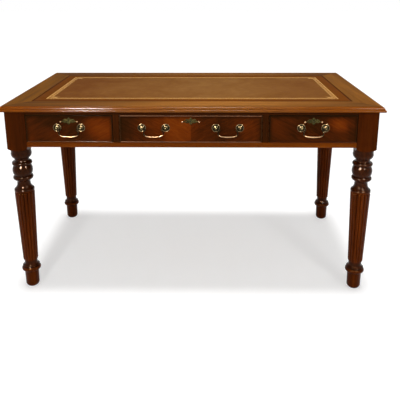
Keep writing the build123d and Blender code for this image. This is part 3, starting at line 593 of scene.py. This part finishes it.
def rosettes(name, bright, dull):
    """The stepped round plates under a drawer's handle posts, bright on their ridges."""
    plates = []
    for x, z in post_places(name):
        plate = lathe(ROSETTE_OUTLINE)
        plate.data.materials.append(bright)
        plate.data.materials.append(dull)
        for face in plate.data.polygons:
            radius = math.hypot(face.center.x, face.center.y) / MM
            hollow = any(inner < radius < outer for inner, outer in HOLLOWS)
            face.material_index = 1 if hollow else 0
        stand_on_front(plate, x, z)
        plates.append(plate)
    piece = joined(plates)
    smooth(piece, 50)
    settle(piece, name + "_turned_rosettes", None, name + "_drawer")
    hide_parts(name + "_rosettes")
    return piece


# Half of a bail, from its end in the post's ball to the middle of its foot: x and z in millimetres, and
# how thick it is there
BAIL_LINE = [(46.6, 0.0, 1.0), (38.0, 0.0, 1.0), (33.2, -0.6, 0.98), (31.0, -3.2, 0.96),
             (32.4, -7.2, 0.96), (35.6, -12.4, 0.98), (37.6, -17.4, 1.0), (37.4, -22.0, 1.0),
             (34.2, -26.6, 1.0), (28.4, -30.0, 1.02), (20.0, -32.0, 1.08), (10.0, -33.0, 1.2),
             (0.0, -33.3, 1.26)]
BAIL_RADIUS = 2.05


def bail(node, body, material):
    """The swan-neck bail that takes a node's place, thicker in the middle of its foot."""
    start_piece()
    bpy.ops.curve.primitive_bezier_curve_add(location=(0, 0, 0))
    curve = bpy.context.object
    line = BAIL_LINE + [(-x, z, thick) for x, z, thick in reversed(BAIL_LINE[:-1])]
    points = curve.data.splines[0].bezier_points
    points.add(len(line) - len(points))
    for point, (x, z, thick) in zip(points, line):
        point.co = (x * MM, 0, z * MM)
        point.radius = thick
        point.handle_left_type = point.handle_right_type = "AUTO"
    curve.data.dimensions = "3D"
    curve.data.bevel_depth = BAIL_RADIUS * MM
    curve.data.bevel_resolution = 5
    curve.data.resolution_u = 6
    curve.data.use_fill_caps = True
    curve.location = BAIL_MIDDLE[body]
    bpy.ops.object.convert(target="MESH")
    piece = smooth(bpy.context.object, 60)
    settle(piece, node + "_swelled", material, body)
    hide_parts(node)
    return piece


# The domed tips of an escutcheon, measured from its keyhole
TIP_OUT, TIP_DOWN = 32 * MM, 3 * MM
TIP_RADIUS, TIP_HEIGHT = 3.2 * MM, 2.2 * MM


def dome(x, y, z, finish):
    """A low round boss that stands on a plate's face."""
    start_piece()
    bpy.ops.mesh.primitive_uv_sphere_add(segments=20, ring_count=12, radius=TIP_RADIUS, location=(x, y, z))
    boss = bpy.context.object
    boss.scale = (1, TIP_HEIGHT / TIP_RADIUS, 1)
    bpy.ops.object.transform_apply(location=True, rotation=True, scale=True)
    bpy.ops.object.mode_set(mode="EDIT")
    bpy.ops.mesh.select_all(action="SELECT")
    bpy.ops.mesh.bisect(plane_co=(x, y + 0.1 * MM, z), plane_no=(0, 1, 0), clear_outer=True, use_fill=True)
    bpy.ops.object.mode_set(mode="OBJECT")
    boss.data.materials.append(finish)
    return boss


def escutcheon(name, plate_finish, tip_finish):
    """The pierced plate with softened edges, and domes on its tips."""
    source = nodes[name + "_escutcheon"]
    low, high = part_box(name + "_escutcheon")
    piece = bpy.data.objects.new(name + "_pierced_plate", source.data.copy())
    bpy.context.scene.collection.objects.link(piece)
    start_piece()
    piece.select_set(True)
    bpy.context.view_layer.objects.active = piece
    bpy.ops.object.mode_set(mode="EDIT")
    bpy.ops.mesh.select_all(action="SELECT")
    bpy.ops.mesh.remove_doubles(threshold=0.000005)
    bpy.ops.mesh.dissolve_limited(angle_limit=math.radians(2))
    bpy.ops.object.mode_set(mode="OBJECT")
    edge = piece.modifiers.new("softened edge", "BEVEL")
    edge.width = 0.35 * MM
    edge.segments = 2
    edge.limit_method = "ANGLE"
    edge.angle_limit = math.radians(50)
    bpy.ops.object.modifier_apply(modifier=edge.name)
    piece.data.materials.clear()
    piece.data.materials.append(plate_finish)
    piece.data.materials.append(tip_finish)
    parts = [piece]
    keyhole_x, keyhole_z = (low.x + high.x) / 2, (low.z + high.z) / 2
    for side in (-1, 1):
        parts.append(dome(keyhole_x + side * TIP_OUT, low.y, keyhole_z - TIP_DOWN, tip_finish))
    piece = joined(parts)
    smooth(piece, 40)
    settle(piece, name + "_pierced_plate", None, name + "_drawer")
    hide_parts(name + "_escutcheon")
    return piece


# Gilt tooling

GILT_Z = LEATHER_HIGH.z + 0.02 * MM
BAND_FROM_TOP_EDGE = 147 * MM
BAND_INSET = BAND_FROM_TOP_EDGE - (TOP_HIGH.x - LEATHER_HIGH.x)

# Across the band from its outer edge: each fillet's start and width, the sprigs' middle, the sprays' start
FILLETS = ((0.0, 3.4 * MM), (4.4 * MM, 0.9 * MM), (15.2 * MM, 0.9 * MM), (17.2 * MM, 1.6 * MM))
SPRIG_MIDDLE = 10.2 * MM
SPRAY_START = 21.5 * MM
SPRIG_PITCH = 9.2 * MM


def gilt_fillet(inset, width):
    """A plain gold line all round, its outer edge this far in from the leather's edge."""
    start_piece()
    bpy.ops.mesh.primitive_plane_add(size=1, location=(0, 0, GILT_Z))
    line = bpy.context.object
    line.scale = (2 * (LEATHER_HIGH.x - inset), 2 * (LEATHER_HIGH.y - inset), 1)
    bpy.ops.object.transform_apply(location=True, rotation=True, scale=True)
    bpy.ops.object.mode_set(mode="EDIT")
    bpy.ops.mesh.select_all(action="SELECT")
    bpy.ops.mesh.inset(thickness=width, depth=0)
    bpy.ops.mesh.delete(type="FACE")
    bpy.ops.object.mode_set(mode="OBJECT")
    return line


def gilt_leaf(length, width, x, y, turn):
    """A pointed leaf lying on the leather, in millimetres about its place."""
    start_piece()
    bpy.ops.mesh.primitive_circle_add(vertices=10, radius=0.5 * MM, fill_type="NGON", location=(0, 0, 0))
    leaf = bpy.context.object
    leaf.scale = (length, width, 1)
    bpy.ops.object.transform_apply(location=False, rotation=False, scale=True)
    for vertex in leaf.data.vertices:
        share = abs(vertex.co.x) / (length * MM / 2)
        vertex.co.y *= 1 - 0.55 * share
    leaf.rotation_euler = (0, 0, turn)
    leaf.location = (x * MM, y * MM, 0)
    bpy.ops.object.transform_apply(location=True, rotation=True, scale=True)
    return leaf


def gilt_run(middle, length, turn):
    """A running spray of leaves and buds along one side of the band."""
    count = int(length / SPRIG_PITCH)
    pitch = length / count / MM
    sprig = joined([gilt_leaf(7.0, 2.5, 0, 2.1, math.radians(28)),
                    gilt_leaf(7.0, 2.5, pitch / 2, -2.1, math.radians(-28)),
                    gilt_leaf(2.2, 2.2, pitch / 2, 3.0, 0), gilt_leaf(2.2, 2.2, 0, -3.0, 0),
                    gilt_leaf(pitch * 0.62, 0.8, pitch / 4, 0, math.radians(-18)),
                    gilt_leaf(pitch * 0.62, 0.8, pitch * 3 / 4, 0, math.radians(18))])
    row = sprig.modifiers.new("row", "ARRAY")
    row.count = count
    row.use_relative_offset = False
    row.use_constant_offset = True
    row.constant_offset_displace = (pitch * MM, 0, 0)
    bpy.context.view_layer.objects.active = sprig
    bpy.ops.object.modifier_apply(modifier=row.name)
    start = Vector((-length / 2 + pitch * MM / 4, 0, 0))
    start.rotate(Matrix.Rotation(turn, 3, "Z"))
    sprig.rotation_euler = (0, 0, turn)
    sprig.location = Vector((middle[0], middle[1], GILT_Z)) + start
    return sprig


# The leaves of a corner spray: direction in degrees, then reach, length and width in millimetres
CORNER_LEAVES = ((0, 16, 17, 6.6), (30, 14, 14, 5.6), (-30, 14, 14, 5.6), (58, 11, 11, 4.6),
                 (-58, 11, 11, 4.6), (0, 4, 6, 6), (0, 28.5, 4.6, 4.6))


def gilt_corner(x_side, y_side, inset):
    """A spray of leaves inside one corner of the band, pointing at the middle of the leather."""
    leaves = []
    for degrees, reach, length, width in CORNER_LEAVES:
        turn = math.radians(degrees)
        leaves.append(gilt_leaf(length, width, reach * math.cos(turn), reach * math.sin(turn), turn))
    spray = joined(leaves)
    spray.rotation_euler = (0, 0, math.atan2(-y_side, -x_side))
    spray.location = (x_side * (LEATHER_HIGH.x - inset), y_side * (LEATHER_HIGH.y - inset), GILT_Z)
    return spray


def gilt_tooling(material):
    """The gold band: two fillets each side of a running leaf, and a spray in each corner."""
    pieces = [gilt_fillet(BAND_INSET + start, width) for start, width in FILLETS]
    x = LEATHER_HIGH.x - BAND_INSET - SPRIG_MIDDLE
    y = LEATHER_HIGH.y - BAND_INSET - SPRIG_MIDDLE
    for side in (-1, 1):
        pieces.append(gilt_run((0, side * y), 2 * x - 8 * MM, 0 if side < 0 else math.pi))
        pieces.append(gilt_run((side * x, 0), 2 * y - 8 * MM, side * math.pi / 2))
    for x_side in (-1, 1):
        for y_side in (-1, 1):
            pieces.append(gilt_corner(x_side, y_side, BAND_INSET + SPRAY_START))
    for piece in pieces:
        start_piece()
        piece.select_set(True)
        bpy.context.view_layer.objects.active = piece
        bpy.ops.object.transform_apply(location=True, rotation=True, scale=True)
    return settle(joined(pieces), "gilt_tooling", material, "carcase")


# Finishes, piece by piece


def finish_top():
    golden = (0.36, paint(81, 46, 8), paint(124, 77, 25), paint(166, 107, 43))
    umber = (0.20, paint(82, 46, 5), paint(122, 76, 18), paint(160, 104, 34))
    amber = (0.20, paint(89, 50, 8), paint(136, 86, 27), paint(171, 112, 42))
    boards = (("front", "X", golden), ("back", "X", golden), ("left", "Y", umber), ("right", "Y", amber))
    for number, (side, axis, shades) in enumerate(boards):
        board = golden_top("golden_mahogany_" + side, axis, (number * 0.37, number * 0.21, 0.1), *shades)
        dress(board, "top_border_" + side)
    dress(bare_wood("core_wood", "X", (0.3, 0.7, 0.2), paint(58, 32, 16), paint(96, 58, 30)), "top_core")
    dress(leather("brown_hide"), "leather_panel")
    gilt_tooling(gold_leaf("gold_leaf"))


def finish_frame():
    russet = (paint(42, 14, 2), paint(68, 27, 5), paint(94, 42, 10))
    for number, side in enumerate(("left", "right")):
        board = mahogany("apron_mahogany_" + side, "Y", (0.2, number * 0.4, 0.3), *russet)
        dress(board, "apron_" + side)
    dress(mahogany("back_mahogany", "X", (0.1, 0.5, 0.8), *russet), "apron_back")
    # Painted shadow: the top rail is a darker copy of the russet, as in the shadow of the top
    top_rail = mahogany("shadowed_top_rail_mahogany", "X", (0.6, 0.2, 0.1), paint(32, 10, 1), paint(50, 18, 3),
                        paint(72, 30, 6))
    dress(top_rail, "front_top_rail")
    bottom_rail = mahogany("bottom_rail_mahogany", "X", (0.9, 0.1, 0.5), paint(84, 34, 3), paint(110, 49, 5),
                           paint(134, 66, 10))
    dress(bottom_rail, "front_bottom_rail")
    muntins = mahogany("muntin_mahogany", "Z", (0.4, 0.2, 0.6), paint(36, 12, 2), paint(58, 22, 4),
                       paint(80, 34, 8))
    dress(muntins, "muntin_left", "muntin_right")
    for end in ("front", "back"):
        for side in ("left", "right"):
            name = "leg_%s_%s" % (end, side)
            low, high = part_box(name)
            dress(leg_mahogany(name + "_mahogany", (low + high) / 2), name)
    pine = bare_wood("pine", "Y", (0.1, 0.2, 0.9), paint(122, 84, 46), paint(168, 124, 76))
    dress(pine, "drawer_runners", "drawer_guides", "drawer_kickers")
    dress(bare_wood("block_pine", "X", (0.4, 0.1, 0.3), paint(126, 88, 50), paint(172, 130, 82)),
          "drawer_stops", "top_buttons")
    dress(lock_steel("screw_steel", "Z"), "button_screws")


# Each drawer's veneer: the x about which it is mirrored, where in the pattern it starts, and its patches
FIGURES = {
    "left": (-0.80, (0.3, 0.2, 0.1),
             [((-0.335, FRONT_FACE_Y, 0.700), (0.11, 0.5, 0.10), 0.26),
              ((-0.52, FRONT_FACE_Y, 0.735), (0.16, 0.5, 0.07), -0.10)]),
    "centre": (0.0, (0.9, 0.4, 0.2),
               [((-0.085, FRONT_FACE_Y, 0.700), (0.13, 0.5, 0.12), 0.17),
                ((0.0, FRONT_FACE_Y, 0.69), (0.15, 0.5, 0.16), 0.28),
                ((-0.26, FRONT_FACE_Y, 0.70), (0.08, 0.5, 0.12), -0.12),
                ((0.23, FRONT_FACE_Y, 0.70), (0.07, 0.5, 0.08), 0.08)]),
    "right": (0.80, (0.5, 0.8, 0.6),
              [((0.565, FRONT_FACE_Y, 0.712), (0.07, 0.5, 0.05), 0.26),
               ((0.34, FRONT_FACE_Y, 0.70), (0.08, 0.5, 0.09), 0.12),
               ((0.47, FRONT_FACE_Y, 0.72), (0.10, 0.5, 0.06), -0.10)]),
}

# How each drawer's bead is painted: its top strip's painted shadow, its gloss, and its share of painted
# highlight
BEADS = {"left": (0.95, 0.14, 0.20), "centre": (0.0, 0.60, 0.50), "right": (0.95, 0.10, 0.0)}


def finish_drawers():
    oak_shades = (paint(134, 98, 58), paint(182, 142, 94))
    oak = bare_wood("oak_linings", "Y", (0.2, 0.6, 0.4), *oak_shades, roughness=0.55)
    oak_across = bare_wood("oak_backs", "X", (0.7, 0.1, 0.4), *oak_shades, roughness=0.55)
    bright = brass("ridge_brass", paint(98, 81, 56), paint(46, 38, 21), 0.46, 0.24)
    dull = brass("tarnished_brass", paint(22, 20, 10), paint(12, 12, 6), 0.40, 0.34)
    plate = brass("olive_brass", paint(48, 42, 21), paint(28, 26, 12), 0.42, 0.42)
    tip = brass("tip_brass", paint(138, 104, 74), paint(100, 72, 46), 0.55, 0.3)
    posts = brass("post_brass", paint(74, 63, 40), paint(32, 28, 15), 0.46, 0.19)
    steel = lock_steel("lock_steel", "X")
    for name in DRAWERS:
        join, start, patches = FIGURES[name]
        low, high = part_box(name + "_drawer_front")
        veneer = flame_mahogany(name + "_flame_mahogany", join, start, patches, low, high)
        dress(veneer, name + "_drawer_front")
        dress(oak, name + "_drawer_sides", name + "_drawer_bottom")
        dress(oak_across, name + "_drawer_back")
        dress(bead_mahogany(name + "_bead_mahogany", low, high, *BEADS[name]), name + "_cock_bead")
        dress(steel, name + "_lock_case", name + "_lock_bolt")
        dress(posts, name + "_handle_posts")
        rosettes(name, bright, dull)
        escutcheon(name, plate, tip)
    for node, body in BAILS.items():
        bail(node, body, grip_brass(node + "_brass", BAIL_MIDDLE[body].z))


# Room

FLOOR_WHITE = 0.62
FLOOR_LIFT = 0.49
ROOM_LIGHT = 0.32


def seen_by_eye(tree):
    """1 for rays that show a thing itself or its reflection, and 0 for rays that gather light."""
    path = tree.nodes.new("ShaderNodeLightPath")
    seen = path.outputs["Is Camera Ray"]
    for kind in ("Is Glossy Ray", "Is Transmission Ray"):
        either = tree.nodes.new("ShaderNodeMath")
        either.operation = "MAXIMUM"
        tree.links.new(seen, either.inputs[0])
        tree.links.new(path.outputs[kind], either.inputs[1])
        seen = either.outputs[0]
    return seen


def white_floor():
    """A white floor that keeps the table's shadow, lifted to the backdrop's white where it is seen."""
    start_piece()
    bpy.ops.mesh.primitive_plane_add(size=40, location=(0, 0, 0))
    floor = bpy.context.object
    floor.name = "floor"
    white = Finish("white_floor")
    white.shade(Base_Color=(FLOOR_WHITE, FLOOR_WHITE, FLOOR_WHITE, 1.0))
    white.shade(Roughness=0.9, Specular_IOR_Level=0.0)
    lift = white.node("ShaderNodeEmission")
    lift.inputs["Color"].default_value = (1, 1, 1, 1)
    white.feed(lift.inputs["Strength"], white.sum("MULTIPLY", seen_by_eye(white.tree), FLOOR_LIFT))
    both = white.node("ShaderNodeAddShader")
    white.feed(both.inputs[0], white.shader.outputs[0])
    white.feed(both.inputs[1], lift.outputs[0])
    out = white.tree.nodes["Material Output"]
    white.feed(out.inputs["Surface"], both.outputs[0])
    floor.data.materials.append(white.material)


def white_room():
    """A surround that is white to the eye and in reflections, and lights the table less than that."""
    world = bpy.data.worlds.new("white_room")
    bpy.context.scene.world = world
    world.use_nodes = True
    tree = world.node_tree
    backdrop = tree.nodes["Background"]
    strength = tree.nodes.new("ShaderNodeMapRange")
    strength.inputs["To Min"].default_value = ROOM_LIGHT
    strength.inputs["To Max"].default_value = 1.0
    tree.links.new(seen_by_eye(tree), strength.inputs["Value"])
    tree.links.new(strength.outputs["Result"], backdrop.inputs["Strength"])
    backdrop.inputs["Color"].default_value = (1, 1, 1, 1)


def overhead_light(strength, spread):
    """Even light from straight above, as from a large bank of lamps; the spread is in degrees."""
    bpy.ops.object.light_add(type="SUN", location=(0, 0, 4))
    light = bpy.context.object
    light.name = "overhead_light"
    light.data.energy = strength
    light.data.angle = math.radians(spread)


def soft_light(name, place, aim, width, height, watts, sparkle=False):
    """A softbox at a place, turned to face what it lights. A sparkle only shows in polish and brass."""
    bpy.ops.object.light_add(type="AREA", location=place)
    light = bpy.context.object
    light.name = name
    light.data.shape = "RECTANGLE"
    light.data.size = width
    light.data.size_y = height
    light.data.energy = watts
    toward = Vector(aim) - Vector(place)
    light.rotation_euler = toward.to_track_quat("-Z", "Y").to_euler()
    light.visible_camera = False
    light.visible_diffuse = not sparkle


def photo_camera():
    """The photograph's viewpoint: just right of the middle, looking a little down, with the lens shifted."""
    place = (0.0724, -2.3383, 1.2441)
    yaw, pitch, roll = -0.0187, -0.2555, -0.0031
    facing = Matrix.Rotation(-yaw, 3, "Z")
    tilt = Matrix.Rotation(math.pi / 2 + pitch, 3, "X")
    turn = facing @ tilt @ Matrix.Rotation(roll, 3, "Z")
    bpy.ops.object.camera_add(location=place, rotation=turn.to_euler())
    camera = bpy.context.object
    camera.name = "photo_camera"
    focal_pixels, picture_pixels = 532.6, 400
    camera.data.sensor_width = 36
    camera.data.lens = camera.data.sensor_width * focal_pixels / picture_pixels
    camera.data.shift_y = -0.20
    camera.data.clip_start = 0.05
    bpy.context.scene.camera = camera


finish_top()
finish_frame()
finish_drawers()
white_floor()
white_room()
overhead_light(2.1, 9)
soft_light("left_lamp", (-0.80, -1.95, 1.55), (-0.1, 0, 0.6), 0.22, 0.22, 11)
soft_light("right_lamp", (1.07, -1.30, 1.35), (0.2, 0, 0.6), 0.2, 0.2, 5)
soft_light("left_sparkle", (-0.80, -1.95, 1.56), (-0.1, 0, 0.6), 0.26, 0.5, 190, sparkle=True)
soft_light("right_sparkle", (1.07, -1.30, 1.36), (0.2, 0, 0.6), 0.2, 0.4, 60, sparkle=True)
photo_camera()
bpy.context.scene.view_settings.view_transform = "Standard"
